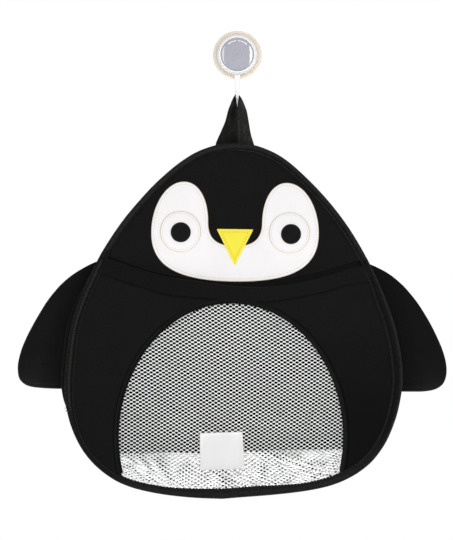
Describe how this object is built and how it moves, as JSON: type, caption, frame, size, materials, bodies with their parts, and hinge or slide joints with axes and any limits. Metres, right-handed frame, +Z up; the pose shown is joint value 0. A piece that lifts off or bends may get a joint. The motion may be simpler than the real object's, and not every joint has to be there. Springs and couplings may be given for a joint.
{
  "type": "bath toy organizer",
  "caption": "Penguin-shaped hanging bag of black foam fabric with a mesh belly pocket for bath toys, hung by its tuft from the hook of a twist-lock suction cup.",
  "frame": {"origin": "middle of the suction cup's sealing face, on the wall", "axes": "+Z up, +Y into the wall, +X to the viewer's right; the front faces -Y"},
  "size_m": [0.4469, 0.0482, 0.4882],
  "materials": {
    "foam_black": "matte",
    "tape_black": "matte",
    "net_white": "matte",
    "vinyl_white": "satin",
    "vinyl_black": "satin",
    "vinyl_yellow": "satin",
    "label_white": "matte",
    "plastic_white": "gloss",
    "cup_clear": "satin",
    "lens_grey": "polished",
    "pin_steel": "satin"
  },
  "bodies": {
    "wall_hook": {"suction_cup": "cup_clear", "hook_housing": "plastic_white", "slip_washer": "plastic_white"},
    "knob": {"cam_knob": "plastic_white", "knob_lens": "lens_grey"},
    "stem": {"cup_stem": "plastic_white", "stem_cross_pin": "pin_steel"},
    "loop": {"hang_loop": "foam_black"},
    "bag": {"loop_root": "foam_black", "back_panel": "foam_black", "head_panel": "foam_black", "belly_panel": "foam_black", "rim_facing": "foam_black", "window_binding": "tape_black", "belly_mesh": "net_white", "drain_mesh": "net_white", "gusset_left": "foam_black", "gusset_right": "foam_black", "head_binding": "tape_black", "back_binding": "tape_black", "belly_binding": "tape_black", "flipper_root_left": "foam_black", "flipper_root_right": "foam_black", "face_patch": "vinyl_white", "eye_disc_left": "vinyl_white", "eye_disc_right": "vinyl_white", "pupil_left": "vinyl_black", "pupil_right": "vinyl_black", "beak": "vinyl_yellow", "label": "label_white"},
    "flipper_left": {"flipper_left": "foam_black"},
    "flipper_right": {"flipper_right": "foam_black"}
  },
  "joints": [
    {"name": "knob_twist", "type": "hinge", "parent": "wall_hook", "child": "knob", "pos_m": [0, -0.0123, 0], "axis": [0, -1, 0], "range_deg": [0, 90]},
    {"name": "stem_draw", "type": "slide", "parent": "wall_hook", "child": "stem", "axis": [0, 1, 0], "range_m": [0, 0.0024], "deforming": ["suction_cup"]},
    {"name": "loop_swing", "type": "hinge", "parent": "wall_hook", "child": "loop", "pos_m": [0, -0.0102, -0.05533], "axis": [0, -1, 0], "range_deg": [-12, 12]},
    {"name": "bag_lift", "type": "hinge", "parent": "loop", "child": "bag", "pos_m": [-0.0028, -0.0043, -0.0928], "axis": [-0.9999, 0, 0.0126], "range_deg": [0, 60]},
    {"name": "flipper_left_flap", "type": "hinge", "parent": "bag", "child": "flipper_left", "pos_m": [-0.18566, -0.0043, -0.29072], "axis": [0.2555, 0, 0.9668], "range_deg": [0, 80], "stiffness_Nm_per_rad": 0.03},
    {"name": "flipper_right_flap", "type": "hinge", "parent": "bag", "child": "flipper_right", "pos_m": [0.16934, -0.0043, -0.29238], "axis": [0.2307, 0, -0.973], "range_deg": [0, 80], "stiffness_Nm_per_rad": 0.03}
  ],
  "couplings": [
    {"joint": "stem_draw", "follows": "knob_twist", "m_per_rad": 0.0015279}
  ]
}
